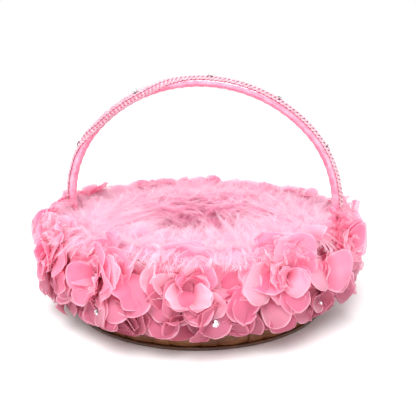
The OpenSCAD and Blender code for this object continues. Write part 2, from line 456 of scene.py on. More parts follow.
def chiffon(name, deep, body, pale):
    """Thin chiffon: pale heat-cut rims with a painted rim highlight, painted shade deepening each petal's
    base and the cloth low down, gaps in the weave.
    """
    sh = Shader(name)
    across, along = sh.uv()
    from_middle = sh.math("ABSOLUTE", sh.math("SUBTRACT", sh.times(across, 2.0), 1.0))
    rim = sh.span(sh.math("MAXIMUM", from_middle, along), 0.93, 0.985)
    cloud = sh.noise(60, 3)
    shade = sh.blend(cloud, 0.45, sh.tint(), 0.55)
    colour = sh.ramp(shade, (0.15, deep), (0.5, body), (0.85, pale))
    # Painted shade: each petal deepens towards its base, in the flower's heart.
    colour = sh.mix(sh.span(along, 0.0, 0.5, 0.75, 0.0), colour, HEART_SHADE_PINK)
    # Painted shade: the cloth darkens towards a dusty rose low down, near the bottom of the basket.
    height = sh.split(sh.place())[2]
    colour = sh.mix(sh.span(height, LOW_SHADE_BELOW, LOW_SHADE_FROM, 0.62, 0.0), colour, LOW_SHADE_ROSE)
    # The pale rims are the heat-cut edges, lightened further as a painted rim highlight.
    colour = sh.mix(sh.times(rim, 0.55), colour, pale)
    thread = sh.times(sh.noise(2600, 1), 0.25)
    crease = sh.math("SINE", sh.times(across, 34.0))
    crease = sh.times(crease, sh.span(along, 0.0, 0.6, 0.5, 0.0))
    normal = sh.bump(sh.math("ADD", thread, crease), 0.35, 0.4 * MM)
    sh.set(Roughness=0.62, Specular_IOR_Level=0.3)
    sh.set(Sheen_Weight=0.35, Sheen_Roughness=0.35, Sheen_Tint=(1, 0.86, 0.91, 1))
    clear = sh.times(sh.math("SUBTRACT", 1.0, rim), sh.span(cloud, 0.3, 0.7, 0.16, 0.30))
    return sh.soft_cloth(colour, 0.48, clear, normal)


def feather_down():
    """Dyed marabou: pale, soft and slightly see-through, with painted shade deepening each plume near its
    root.
    """
    sh = Shader("marabou_down")
    from_core, _ = sh.uv()
    shade = sh.blend(sh.noise(45, 3), 0.5, sh.tint(), 0.5)
    colour = sh.ramp(shade, *zip((0.2, 0.5, 0.8), DOWN_PINKS))
    # Painted shade: each plume deepens towards its root, inside the dense down.
    colour = sh.mix(sh.span(from_core, 0.0, 0.6, 0.5, 0.0), colour, DOWN_ROOT_SHADE)
    sh.set(Roughness=0.75, Specular_IOR_Level=0.2)
    sh.set(Sheen_Weight=0.3, Sheen_Roughness=0.5, Sheen_Tint=(1, 0.9, 0.95, 1))
    return sh.soft_cloth(colour, 0.68)


def satin(name, pinks, wrinkle_scale):
    """Polyester satin: glossy, with fine threads and soft wrinkles, its colour painted deeper in the
    wrinkles' hollows and paler on their crests as shade and sheen.
    """
    sh = Shader(name)
    _, along = sh.uv()
    wrinkle = sh.noise(wrinkle_scale, 4)
    thread = sh.math("SINE", sh.times(along, 900.0))
    height = sh.math("ADD", sh.times(thread, 0.06), wrinkle)
    return sh.set(
        # Painted shade and sheen: the colour follows the wrinkle height, deeper pink in the hollows and
        # paler on the crests.
        Base_Color=sh.ramp(wrinkle, *zip((0.25, 0.5, 0.75), pinks)),
        Normal=sh.bump(height, 0.28, 0.3 * MM),
        Roughness=sh.span(sh.noise(90, 2), 0.3, 0.7, 0.15, 0.24),
        Sheen_Weight=0.25, Sheen_Roughness=0.4, Specular_IOR_Level=0.8,
        Coat_Weight=1.0, Coat_Roughness=0.11,
    )


def braid_yarn():
    """Gimp cords, with a shiny thread wound tight round each, over a tape coloured deeper pink as painted
    shade between the cords.
    """
    sh = Shader("gimp_yarn")
    across, along = sh.uv()
    turn = sh.math("SINE", sh.blend(along, TAU, across, TAU))
    # Painted shade and sheen: the colour follows the thread's turns, paler on each ridge and deeper
    # between turns.
    shade = sh.math("ADD", sh.times(turn, 0.18), sh.noise(240, 3))
    colour = sh.ramp(shade, *zip((0.25, 0.5, 0.8), YARN_PINKS))
    return sh.set(
        # The tape's deeper pink is painted shade between the cord rows.
        Base_Color=sh.mix(sh.tint(), colour, TAPE_SHADE_PINK), Normal=sh.bump(turn, 0.6, 0.12 * MM),
        Roughness=0.42, Sheen_Weight=0.4, Sheen_Roughness=0.4, Specular_IOR_Level=0.5,
    )


def crystal():
    """Foil-backed glass with painted reflections: each facet gets its own tone, from dark to bright, as if
    it threw back a different part of the room.
    """
    sh = Shader("foil_backed_crystal_painted_glints")
    # Painted reflections: each facet's own tone sets its colour, from dark to bright.
    shade = sh.blend(sh.tint(), 0.85, sh.noise(900, 1), 0.15)
    return sh.set(
        Base_Color=sh.ramp(
            shade, (0.12, srgb(70, 60, 62)), (0.35, srgb(170, 165, 170)), (0.6, srgb(248, 250, 252))
        ),
        Metallic=0.85, Roughness=0.06, Coat_Weight=1.0, Coat_Roughness=0.02,
    )


def varnished_wood(name, browns, grain_stretch):
    """Stained split wood under varnish, with grain, darker pores and worn lighter edges."""
    sh = Shader(name)
    grain = sh.noise(160, 6, sh.stretch(grain_stretch), 0.65)
    cloud = sh.noise(28, 3)
    colour = sh.ramp(sh.blend(grain, 0.6, cloud, 0.4), *zip((0.3, 0.5, 0.72), browns))
    edges = sh.node("NewGeometry").outputs["Pointiness"]
    worn = sh.times(sh.span(edges, 0.52, 0.6), 0.4)
    return sh.set(
        Base_Color=sh.mix(worn, colour, browns[2]), Normal=sh.bump(grain, 0.3, 0.25 * MM),
        Roughness=sh.span(cloud, 0.3, 0.7, 0.28, 0.5),
        Coat_Weight=0.35, Coat_Roughness=0.25, Specular_IOR_Level=0.5,
    )


def plain_wood():
    sh = Shader("rod_wood")
    grain = sh.noise(150, 5, sh.stretch((1, 1, 0.15)), 0.6)
    return sh.set(
        Base_Color=sh.ramp(grain, (0.3, srgb(176, 134, 88)), (0.7, srgb(222, 190, 146))),
        Normal=sh.bump(grain, 0.3, 0.2 * MM), Roughness=0.6,
    )


def steel():
    sh = Shader("nail_steel")
    scratch = sh.noise(700, 4)
    return sh.set(
        Base_Color=sh.ramp(scratch, (0.3, srgb(140, 136, 130)), (0.7, srgb(196, 192, 186))),
        Roughness=sh.span(scratch, 0.3, 0.7, 0.25, 0.45), Metallic=1.0,
    )


def felt():
    sh = Shader("felt")
    fibre = sh.noise(1400, 5, None, 0.7)
    return sh.set(
        Base_Color=sh.ramp(fibre, (0.3, srgb(222, 112, 146)), (0.7, srgb(246, 160, 188))),
        Normal=sh.bump(fibre, 0.6, 0.3 * MM),
        Roughness=0.95, Sheen_Weight=0.6, Sheen_Roughness=0.6,
    )


def dress_frame():
    """Better materials for the CAD nodes that stay."""
    hoop = varnished_wood("hoop_wood", STAINED_WOOD, (1, 1, 6))
    looks = {
        "base_board": varnished_wood("board_wood", STAINED_WOOD, (1, 0.12, 1)),
        "foot_ring": hoop,
        "rim_hoop": hoop,
        "handle_core": plain_wood(),
        "handle_nails": steel(),
        "flower_backings": felt(),
    }
    for name, material in looks.items():
        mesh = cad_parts[name].data
        mesh.materials.clear()
        mesh.materials.append(material)


# ---- studio floor

FLOOR_R = 6.0
FLOOR_DROP = 0.05 * MM
FLOOR_RINGS = 11
FLOOR_SIDES = 64


def add_floor():
    """A large pale disc just under the object."""
    sh = Shader("studio_floor")
    colour = sh.ramp(sh.noise(3, 2), (0.3, (0.93, 0.93, 0.93)), (0.7, (0.96, 0.96, 0.96)))
    material = sh.set(Base_Color=colour, Roughness=0.9, Specular_IOR_Level=0.1)
    r = FLOOR_R * np.linspace(0, 1, FLOOR_RINGS + 1)[1:, None]
    a = circle(FLOOR_SIDES)
    points = np.vstack([round_points(r, a, -FLOOR_DROP).reshape(-1, 3), [[0, 0, -FLOOR_DROP]]])
    rings = grid_faces(FLOOR_RINGS, FLOOR_SIDES, loop=True)[:, ::-1]
    middle = fan_faces(len(points) - 1, FLOOR_SIDES)
    new_mesh("studio_floor", points, [rings, middle], material)


# ---- chiffon flowers

PETAL_ROWS = 17
PETAL_COLUMNS = 13
SHOULDER = 0.45
PLEATS = 7
PLEAT_DEPTH = 0.7 * MM
SIDE_RUFFLE = (0.8, 2.2)
TIP_RUFFLE = (0.5, 1.9)
FOLD_DEPTH = 1.6
CUP_NARROWS = 0.25
PETAL_SIZE = (0.82, 1.15)
WIDTH_VARIES = (0.92, 1.08)
CUP_VARIES = (0.7, 1.3)
LIFT_VARIES = 0.20
DROOP_VARIES = 0.45
AXIS_VARIES = 0.18
TONE_VARIES = 0.08
HEART_VARIES = 1.2 * MM
HEART_OVAL = (1.35, 0.8)
LAYER_GAP = 1.1 * MM
LAYER_SHRINK = 0.05
LAYER_DROOP = 0.10

LOWEST_CLOTH = 19 * MM
HIGHEST_CLOTH = 97 * MM
WALL_GAP = 3.2 * MM
ABOVE_RIM = 6 * MM
OUTLINE_R = 158 * MM
OUTLINE_LOW_R = 121 * MM
OUTLINE_FLARE = 1.25
BACK_DROOP = 0.18
HEART_GAP = 5 * MM

# A ring of petals alike. Lengths are in mm. lift and droop are the petals' slopes toward the
# flower's axis at base and tip, in degrees. spread scatters their roots round the heart.
Whorl = namedtuple("Whorl", "count length width lift droop cup spread above")

# A row's up and down are how long the petals that point that way are, as a share. tip is how far
# a flower's axis is tipped up, in degrees, and rise is its heart above its node's middle, in mm.
Row = namedtuple("Row", "name pinks place_seed petal_seed up down tip rise whorls")

INNER_WHORLS = [Whorl(7, 28, 26, 38, 6, 0.25, 4, 0), Whorl(5, 21, 21, 58, 24, 0.35, 3, 0)]
UPPER_ROW = Row("upper", UPPER_CHIFFON, 400, 100, up=0.95, down=0.85, tip=(4, 20), rise=(-10, -2), whorls=(
    Whorl(11, 34, 31, 3, 0, 0.08, 24, -6), Whorl(8, 33, 28, 18, -3, 0.16, 5, 0),
    *INNER_WHORLS, Whorl(5, 27, 27, 2, 0, 0.08, 34, 2),
))
# The lower row uses the darker chiffon colours that carry painted shade.
LOWER_ROW = Row("lower", LOWER_CHIFFON_SHADED, 500, 200, up=1.0, down=0.56, tip=(-16, 2), rise=(7, 7), whorls=(
    Whorl(10, 35, 31, 3, 0, 0.08, 24, 5), Whorl(8, 33, 28, 18, -3, 0.16, 6, 0), *INNER_WHORLS,
))


def petal_flat(length, width, base):
    """Flat petal outline on a grid: x across, y along, for a from the base to the tip."""
    a = np.linspace(0, 1, PETAL_ROWS)[:, None]
    b = np.linspace(-1, 1, PETAL_COLUMNS)
    spread = base + (1 - base) * np.sin(a * math.pi / 2) ** 0.8
    x = width / 2 * spread * b
    y = a * length * (1 - SHOULDER * (1 - np.sqrt(1 - 0.98 * b * b)))
    return a, b, x, y


def petal_waves(rng, a, b, t):
    """How far the cloth stands off its curve: ruffled rims, pleats at the base and one soft fold."""
    waves = rng.uniform(1.6, 3.1)
    phase, tip_phase = rng.uniform(0, TAU, 2)
    side_wave = np.sin(waves * TAU * a / 1.6 + phase + 1.5 * np.sign(b))
    off = rng.uniform(*SIDE_RUFFLE) * MM * a ** 2 * np.abs(b) ** 1.5 * side_wave
    off += rng.uniform(*TIP_RUFFLE) * MM * a ** 4 * np.sin(rng.uniform(1.2, 2.6) * math.pi * b + tip_phase)
    off += PLEAT_DEPTH * (1 - a) ** 2 * np.sin(PLEATS * math.pi * b)
    off += rng.normal(0, FOLD_DEPTH) * MM * t * np.cos(math.pi * (b * 0.8 + rng.uniform(-0.5, 0.5)))
    return off


def petal(rng, heart, axis, angle, length, width, lift, droop, cup):
    """One bent chiffon petal, from the heart outward at that angle round the flower's axis."""
    a, b, x, y = petal_flat(length, width, rng.uniform(0.18, 0.28))
    flat_area = grid_area(stacked(x, y, 0))
    up = unit(UP - axis * axis[2])
    radial = math.cos(angle) * np.cross(up, axis) + math.sin(angle) * up
    side = np.cross(axis, radial)
    t = y / length
    slope = lift + (droop - lift) * t
    middle = slope.copy()
    middle[1:] = (slope[1:] + slope[:-1]) / 2
    steps = np.diff(y, axis=0, prepend=0)
    run = np.cumsum(steps * np.cos(middle), axis=0)
    rise = np.cumsum(steps * np.sin(middle), axis=0)
    turn = rng.normal(0, 0.22) * t ** 1.3
    share = x / (width / 2)
    off = cup * width / 2 * share ** 2 + petal_waves(rng, a, b, t)
    shift = x * np.cos(turn) - off * np.sin(turn)
    off = x * np.sin(turn) + off * np.cos(turn)
    shift = shift * (1 - CUP_NARROWS * min(cup, 1.2) * share ** 2)
    ahead = run - off * np.sin(slope)
    above = rise + off * np.cos(slope)
    points = heart + ahead[..., None] * radial + above[..., None] * axis + shift[..., None] * side
    return points, stacked((b + 1) / 2, a), flat_area


def clear_of_wall(points):
    """Keeps cloth off the wall and the floor, and inside the basket's flared outline."""
    z = soft_floor(points[..., 2], LOWEST_CLOTH, 2 * MM)
    z = soft_ceiling(z, HIGHEST_CLOTH, 6 * MM)
    radius = radius_of(points)
    least = WALL.outer(np.minimum(z, WALL.high_z)) + WALL_GAP
    most = np.minimum(OUTLINE_R, OUTLINE_LOW_R + OUTLINE_FLARE * z)
    kept = np.where(z < WALL.high_z + ABOVE_RIM, soft_floor(radius, least, 1 * MM), radius)
    kept = soft_ceiling(kept, most, 4 * MM)
    return stacked(points[..., 0] * kept / radius, points[..., 1] * kept / radius, z)


def flower(name, heart, axis, row, material, seed):
    """Double petals gathered loosely round a heart."""
    rng = np.random.default_rng(seed)
    sheets, uvs, tints, cut = [], [], [], 0.0
    up = unit(UP - axis * axis[2])
    right = np.cross(up, axis)
    wide, tall = HEART_OVAL
    up_share = row.up * (1 - BACK_DROOP * max(heart[1], 0) / OUTLINE_R)
    for whorl in row.whorls:
        start = rng.uniform(0, TAU)
        for i in range(whorl.count):
            angle = start + TAU * (i + rng.uniform(-0.3, 0.3)) / whorl.count
            share = row.down if math.sin(angle) < 0 else up_share
            size = rng.uniform(*PETAL_SIZE) * (1 - (1 - share) * abs(math.sin(angle)))
            lift = math.radians(whorl.lift) + rng.normal(0, LIFT_VARIES)
            droop = math.radians(whorl.droop) + rng.normal(0, DROOP_VARIES)
            tone = rng.uniform(0, 1)
            own_axis = unit(axis + rng.normal(0, AXIS_VARIES, 3))
            wander = whorl.spread * MM * rng.uniform(0.3, 1.0)
            aside = angle + rng.normal(0, 0.7)
            own_heart = heart + wander * (wide * math.cos(aside) * right + tall * math.sin(aside) * up)
            own_heart = own_heart + rng.normal(0, HEART_VARIES, 3) + whorl.above * MM * up
            for layer in (0, 1):
                shrink = size * (1 - LAYER_SHRINK * layer)
                points, uv, area = petal(
                    rng, own_heart - own_axis * LAYER_GAP * layer, own_axis,
                    angle + layer * rng.normal(0, 0.10), whorl.length * MM * shrink,
                    whorl.width * MM * shrink * rng.uniform(*WIDTH_VARIES),
                    lift, droop - LAYER_DROOP * layer, whorl.cup * rng.uniform(*CUP_VARIES),
                )
                sheets.append(points)
                uvs.append(uv)
                tints.append(np.full(uv.shape[:2], np.clip(tone + rng.normal(0, TONE_VARIES), 0, 1)))
                cut += area
    piece = add_piece(
        name + "_chiffon", "chiffon_" + row.name, name, clear_of_wall(np.array(sheets)),
        [grid_faces(PETAL_ROWS, PETAL_COLUMNS, len(sheets))], material, uvs, np.array(tints),
    )
    return piece


def add_flowers(row):
    """A row of flowers round the wall, each in front of its CAD node's middle and facing out."""
    material = chiffon("chiffon_" + row.name, *row.pinks)
    made = []
    names = sorted(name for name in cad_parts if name.startswith(f"flower_{row.name}_"))
    for i, name in enumerate(names):
        low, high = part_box(name)
        middle = np.array((low + high) / 2)
        angle = math.atan2(middle[1], middle[0])
        rng = np.random.default_rng(row.place_seed + i)
        tip = math.radians(rng.uniform(*row.tip))
        turn = angle + rng.normal(0, 0.10)
        axis = round_points(math.cos(tip), turn, math.sin(tip))
        z = middle[2] + rng.uniform(*row.rise) * MM
        heart = round_points(WALL.outer(min(z, WALL.high_z)) + HEART_GAP, angle, z)
        made.append(flower(name, heart, axis, row, material, row.petal_seed + i))
    return made


# ---- marabou trim

SECTORS = 5
SECTOR_ANGLE = math.pi / SECTORS
PLUMES = 400
BARBS = 30
BARB_STEPS = 4
CORE_RINGS = 90
CORE_SIDES = 26
CORE_SHARE = 0.5

# Angles round the roll are in degrees from outward. Half of the plumes spill out, half lie inward.
OUTER_ROLL = (15, 85)
INNER_ROLL = (85, 205)
SPILL_ROLL = math.radians(46)
PLUME_FOOT = 3 * MM
PLUME_LENGTH = (0.42, 0.95)
SPILL_LONGER = 1.4
INWARD_LONGER = 2.3
BARB_LENGTH = 0.72
BARB_SPLAY = (56, 42)
BARB_HALF_WIDTH = (0.16, 0.04)

FLATTEN = 0.47
TRIM_REACH = (146 * MM, 156 * MM)
RIM_COVER = 2 * MM
RIM_MARGIN = 3 * MM
RIM_EASE = 7 * MM
RIM_DROP = 0.62
RIM_LOFT = 0.5
RIM_FROM = 62 * MM
HOOP_T = 2.4 * MM
PAD_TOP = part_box("liner_floor")[1][2]
PAD_CLEAR = 2 * MM


def bent(starts, ways, length, sag, u):
    """Points along curved lines, at shares u of them: straight ways bent by sag."""
    line = u[:, None] * ways[..., None, :] + (u * u)[:, None] * sag[..., None, :]
    return starts[..., None, :] + length[..., None, None] * line


def lay_over_rim(points):
    """Lays the down that passes the liner over the rim, and lets it slope away past the hoop."""
    radius, z = radius_of(points), points[..., 2]
    inside = WALL.inner(WALL.high_z) - RIM_MARGIN
    outside = WALL.outer(WALL.high_z) + HOOP_T
    over = ease((radius - inside + RIM_EASE) / RIM_EASE)
    top = WALL.high_z + RIM_COVER - RIM_DROP * np.maximum(radius - outside, 0)
    lifted = top + RIM_LOFT * np.maximum(z - RIM_FROM, 0)
    z += over * (lifted - z)


def grow_plumes(rng, around, ring, tube_r):
    """The plumes' shafts, as a point and a direction at each pair of barbs."""
    count = len(around)
    outward = round_points(1.0, around, 0.0)
    tangent = round_points(1.0, around + math.pi / 2, 0.0)
    spills = rng.uniform(0, 1, count) < 0.5
    roll = np.radians(np.where(spills, rng.uniform(*OUTER_ROLL, count), rng.uniform(*INNER_ROLL, count)))
    way = np.cos(roll)[:, None] * outward + np.sin(roll)[:, None] * UP
    foot = ring + PLUME_FOOT * way
    lean = rng.normal(0, 0.45, (count, 1)) * tangent
    ahead = unit(way + lean + rng.normal(0, 0.12, (count, 3)))
    spill = np.clip(np.cos(roll - SPILL_ROLL), 0, 1) ** 2
    inward = np.clip(-np.cos(roll), 0, 1)
    longer = 1 + SPILL_LONGER * spill + INWARD_LONGER * inward
    length = tube_r * rng.uniform(*PLUME_LENGTH, count) * longer
    sag = (-0.12 - 0.26 * spill)[:, None] * UP + rng.normal(0, 0.16, (count, 3))
    u = np.linspace(0.08, 1.0, BARBS)
    roots = bent(foot, ahead, length, sag, u)
    grown = unit(ahead[:, None, :] + 2 * u[:, None] * sag[:, None, :])
    return roots, grown, u


def grow_barbs(rng, roots, grown, shaft_u, tube_r):
    """Thin tapering ribbons on both sides of each shaft, and the shares of their length."""
    count = len(roots)
    plane = unit(np.cross(grown, unit(rng.normal(0, 1, (count, 3)))[:, None, :]))
    sides = np.array([-1.0, 1.0])[:, None]
    splay = np.radians(BARB_SPLAY[0] - BARB_SPLAY[1] * shaft_u)[None, :, None, None]
    shaft = grown[:, :, None, :]
    way = np.cos(splay) * shaft + np.sin(splay) * sides * plane[:, :, None, :]
    way = unit(way + rng.normal(0, 0.10, way.shape))
    length = tube_r * BARB_LENGTH * np.sin(math.pi * (0.2 + 0.62 * shaft_u))[None, :, None] ** 0.6
    length = length * rng.uniform(0.75, 1.15, way.shape[:3])
    sag = -0.10 * UP + 0.28 * (shaft - way) + rng.normal(0, 0.12, way.shape)
    u = np.linspace(0, 1, BARB_STEPS + 1)
    lines = bent(np.broadcast_to(roots[:, :, None, :], way.shape), way, length, sag, u)
    facing = unit(np.cross(way, unit(rng.normal(0, 1, way.shape))))
    half = (BARB_HALF_WIDTH[0] * (1 - u) ** 0.6 + BARB_HALF_WIDTH[1]) * MM
    offset = half[:, None] * facing[..., None, :]
    return np.stack([lines - offset, lines + offset], -2), u


def boa_core(rng, ring_r, ring_z, tube_r, from_angle):
    """The packed down round the cord: a lumpy tube that the plumes grow out of."""
    a = (from_angle + SECTOR_ANGLE * np.linspace(0, 1, CORE_RINGS))[:, None]
    c = circle(CORE_SIDES)
    lumps = sum(
        np.sin(k * a * 9 + m * c + rng.uniform(0, TAU)) / (k + m)
        for k in (1, 2, 3, 5) for m in (1, 2, 3)
    )
    radius = tube_r * (CORE_SHARE + 0.05 * lumps)
    return round_points(ring_r + radius * np.cos(c), a, ring_z + radius * np.sin(c)).reshape(-1, 3)


def add_trim(name, node, seed, from_angle, material):
    """A sector of the feather boa: plumes of soft barbs growing from a stitched core."""
    points = node_points(node)
    radius, z = radius_of(points), points[:, 2]
    ring_r, ring_z = (radius.max() + radius.min()) / 2, (z.max() + z.min()) / 2
    tube_r = (z.max() - z.min()) / 2
    rng = np.random.default_rng(seed)
    around = from_angle + SECTOR_ANGLE * (np.arange(PLUMES) + rng.uniform(0, 1, PLUMES)) / PLUMES
    rng.shuffle(around)
    ring = round_points(ring_r, around, ring_z)
    roots, grown, shaft_u = grow_plumes(rng, around, ring, tube_r)
    points, u = grow_barbs(rng, roots, grown, shaft_u, tube_r)
    per_plume = (PLUMES, 1, 1, 1, 1)
    points[..., 2] -= FLATTEN * np.maximum(points[..., 2] - ring_z, 0)
    radius = radius_of(points)
    reach = rng.uniform(*TRIM_REACH, per_plume)
    points[..., :2] *= (soft_ceiling(radius, reach, 3 * MM) / radius)[..., None]
    points[..., 2] = soft_floor(points[..., 2], PAD_TOP + PAD_CLEAR, 2 * MM)
    lay_over_rim(points)
    from_core = np.linalg.norm(points - ring.reshape(*per_plume, 3), axis=-1) / tube_r
    uv = stacked(np.clip(from_core, 0, 1), u[:, None]).reshape(-1, 2)
    tint = np.broadcast_to(rng.uniform(0, 1, PLUMES).reshape(per_plume), from_core.shape).ravel()
    points = points.reshape(-1, 3)
    core = boa_core(rng, ring_r, ring_z, tube_r, from_angle)
    barbs = grid_faces(BARB_STEPS + 1, 2, len(points) // (2 * (BARB_STEPS + 1)))
    add_piece(
        name, "feather", node, np.vstack([points, core]),
        [barbs, grid_faces(CORE_RINGS, CORE_SIDES, loop=True) + len(points)], material,
        np.vstack([uv, np.full((len(core), 2), (0.6, 0.5))]),
        np.concatenate([tint, np.full(len(core), 0.3)]),
    )


def add_trims():
    material = feather_down()
    for node, seed, start in (("feather_trim_back", 310, 0.0), ("feather_trim_front", 320, math.pi)):
        for i in range(SECTORS):
            add_trim(f"{node}_plumes_{i + 1}", node, seed + i, start + SECTOR_ANGLE * i, material)


# ---- handle ribbon

RIBBON_PITCH = 9 * MM
RIBBON_WIDTH = 12 * MM
RIBBON_FLAT = 0.42 * RIBBON_WIDTH
RIBBON_EDGE = 0.08 * RIBBON_WIDTH
RIBBON_LAP = 0.3 * MM
LAP_FROM = 0.6
RIBBON_STEPS = 32
RIBBON_COLUMNS = 11
RIBBON_CREASE = 0.05 * MM
CREASE_WAVES = (2.1 * MM, 11 * MM)
RIBBON_ROUNDING = 0.04 * MM
TURNS_A_REPEAT = 12


def add_handle_satin():
    """The satin ribbon wound round the rod, each turn lapping the one before."""
    turns = 2 * ARCH.half_len / RIBBON_PITCH
    t = np.linspace(0, turns, int(turns * RIBBON_STEPS))[:, None]
    w = RIBBON_WIDTH * np.linspace(-0.5, 0.5, RIBBON_COLUMNS)
    s = np.clip(-ARCH.half_len + RIBBON_PITCH * t + w, -ARCH.half_len, ARCH.half_len)
    angle = TAU * t + 0 * w
    lap = RIBBON_WIDTH - RIBBON_PITCH
    under = ease((w + RIBBON_WIDTH / 2 - LAP_FROM * lap) / lap)
    edge = ease((np.abs(w) - RIBBON_FLAT) / RIBBON_EDGE)
    short, long = CREASE_WAVES
    crease = RIBBON_CREASE * np.sin(s / short + 3 * angle) * np.sin(s / long + angle)
    points = ARCH.around(s, ARCH.rod_r - RIBBON_LAP * under + crease - RIBBON_ROUNDING * edge, angle)
    uv = stacked(w / RIBBON_WIDTH + 0.5, t / TURNS_A_REPEAT)
    piece = add_piece(
        "handle_satin_wrap", "handle_ribbon", "handle_satin", points, [grid_faces(*points.shape[:2])],
        satin("handle_satin", RIBBON_PINKS, 140), uv,
    )


# ---- handle braid

LOOP_PITCH = 3.9 * MM
LOOP_STEPS = 16
LOOP_AHEAD = 1.55 * MM
LOOP_REACH = 2.1 * MM
ROW_OFFSET = 2.75 * MM
CORD_R = 0.46 * MM
CORD_SHARES = (1.0, 0.52)
CORD_SIDES = 6
CORD_BOB = 0.8
THREAD_TURN = 0.9 * MM
TAPE_LIFT = 0.15 * MM
TAPE_HALF = 4.6 * MM
TAPE_COLUMNS = 11
BRAID_SAMPLES = 2400
BRAID_PROUD = 0.7 * MM
KNOT_REACH = 4 * MM
ROLL_KNOTS = 90
ROLL_SMOOTHING = 7
ROLL_MORE = 1.15
ROLL_FORWARD = math.radians(9)


def braid_roll():
    """Angle of the braid's middle round the rod, by place along the arch, read from its node."""
    points = node_points("handle_braid")
    s, line = ARCH.samples(BRAID_SAMPLES)
    nearest = np.array([np.argmin(((line - point) ** 2).sum(1)) for point in points])
    away = points - line[nearest]
    outer = np.linalg.norm(away, axis=1) > ARCH.rod_r + BRAID_PROUD
    angle = np.arctan2(-away[:, 1], (away * ARCH.out(s[nearest])).sum(1))
    spots, angles = s[nearest][outer], angle[outer]
    knots = np.linspace(spots.min(), spots.max(), ROLL_KNOTS)
    near = [np.abs(spots - knot) < KNOT_REACH for knot in knots]
    middle = [(angles[pick].max() + angles[pick].min()) / 2 for pick in near]
    window = np.ones(ROLL_SMOOTHING) / ROLL_SMOOTHING
    smooth = np.convolve(np.pad(middle, ROLL_SMOOTHING // 2, mode="edge"), window, "valid")
    return knots, ROLL_MORE * smooth + ROLL_FORWARD


def tube(path, outward, radius, sides):
    """Rings of points round a path, and their uv: turns of the wound thread by length."""
    way = unit(np.gradient(path, axis=0))
    side = unit(np.cross(way, outward))
    other = np.cross(way, side)
    c = circle(sides)
    spokes = np.cos(c)[:, None] * side[:, None, :] + np.sin(c)[:, None] * other[:, None, :]
    steps = np.linalg.norm(np.diff(path, axis=0), axis=1)
    along = np.concatenate([[0], np.cumsum(steps)])
    uv = stacked(c / TAU, along[:, None] / THREAD_TURN)
    return path[:, None, :] + radius * spokes, uv


def add_braid():
    """Scroll gimp glued along the handle: two rows of looped cord over a narrow tape, darker as painted
    shade between the rows.
    """
    knots, middle = braid_roll()
    s = np.arange(knots[0] + LOOP_PITCH, knots[-1] - LOOP_PITCH, LOOP_PITCH / LOOP_STEPS)
    phase = TAU * s / LOOP_PITCH
    rest = ARCH.rod_r + TAPE_LIFT + 2 * CORD_R
    cords, cord_uvs = [], []
    for row in (-1, 1):
        for share in CORD_SHARES:
            spot = s + row * share * LOOP_AHEAD * np.sin(phase)
            sideways = row * (ROW_OFFSET + share * LOOP_REACH * np.cos(phase))
            height = rest + CORD_BOB * CORD_R * np.sin(phase)
            path = ARCH.around(spot, height, np.interp(spot, knots, middle) + sideways / rest)
            points, uv = tube(path, unit(path - ARCH.centre(spot)), CORD_R, CORD_SIDES)
            cords.append(points)
            cord_uvs.append(uv)
    across = np.linspace(-1, 1, TAPE_COLUMNS)
    angle = np.interp(s, knots, middle)[:, None] + across * TAPE_HALF / rest
    tape = ARCH.around(s[:, None], ARCH.rod_r + TAPE_LIFT, angle).reshape(-1, 3)
    tape_uv = stacked(across, s[:, None] / THREAD_TURN).reshape(-1, 2)
    cord_faces = grid_faces(len(s), CORD_SIDES, len(cords), loop=True)
    cords = np.array(cords).reshape(-1, 3)
    add_piece(
        "handle_gimp_braid", "braid", "handle_braid", np.vstack([cords, tape]),
        [cord_faces, grid_faces(len(s), TAPE_COLUMNS) + len(cords)], braid_yarn(),
        np.vstack([np.array(cord_uvs).reshape(-1, 2), tape_uv]),
        np.concatenate([np.zeros(len(cords)), np.ones(len(tape))]),
    )


# ---- stones

STONE_R = 2.9 * MM
STONE_H = 1.7 * MM
STONE_SIDES = 8
STONE_APART = 8 * MM
STONE_SAMPLES = 4000
STONE_RISE = 5 * MM
STONE_LIFT = 0.1 * MM
RAY_FROM = 60 * MM
NEAR_FROM = 15 * MM

# The stone's rings from its back to its table: height, radius and turn, as shares.
STONE_LEVELS = [(0.0, 0.90, 0.0), (0.22, 1.0, 0.0), (0.34, 0.98, 0.5), (0.82, 0.66, 0.0), (1.0, 0.50, 0.5)]


def stone_mesh(rng):
    """A faceted flat-backed stone of unit radius and height, as loose facets with a painted reflection
    tone each.
    """
    turns = [turn for _, _, turn in STONE_LEVELS]
    rings = [
        round_points(radius, circle(STONE_SIDES) + turn * TAU / STONE_SIDES, z)
        for z, radius, turn in STONE_LEVELS
    ]
    facets = [rings[0][::-1], rings[-1]]
    for lower, upper, low_turn, high_turn in zip(rings, rings[1:], turns, turns[1:]):
        for i in range(STONE_SIDES):
            j = (i + 1) % STONE_SIDES
            a, b, c, d = lower[i], lower[j], upper[j], upper[i]
            if low_turn == high_turn:
                found = [(a, b, c, d)]
            elif high_turn > low_turn:
                found = [(a, b, d), (d, b, c)]
            else:
                found = [(a, c, d), (a, b, c)]
            facets += [np.array(facet) for facet in found]
    painted_glints = [np.full(len(facet), rng.uniform(0, 1)) for facet in facets]
    # Painted highlight: the top facet always gets a bright tone.
    painted_glints[1][:] = 0.9
    return facets, painted_glints


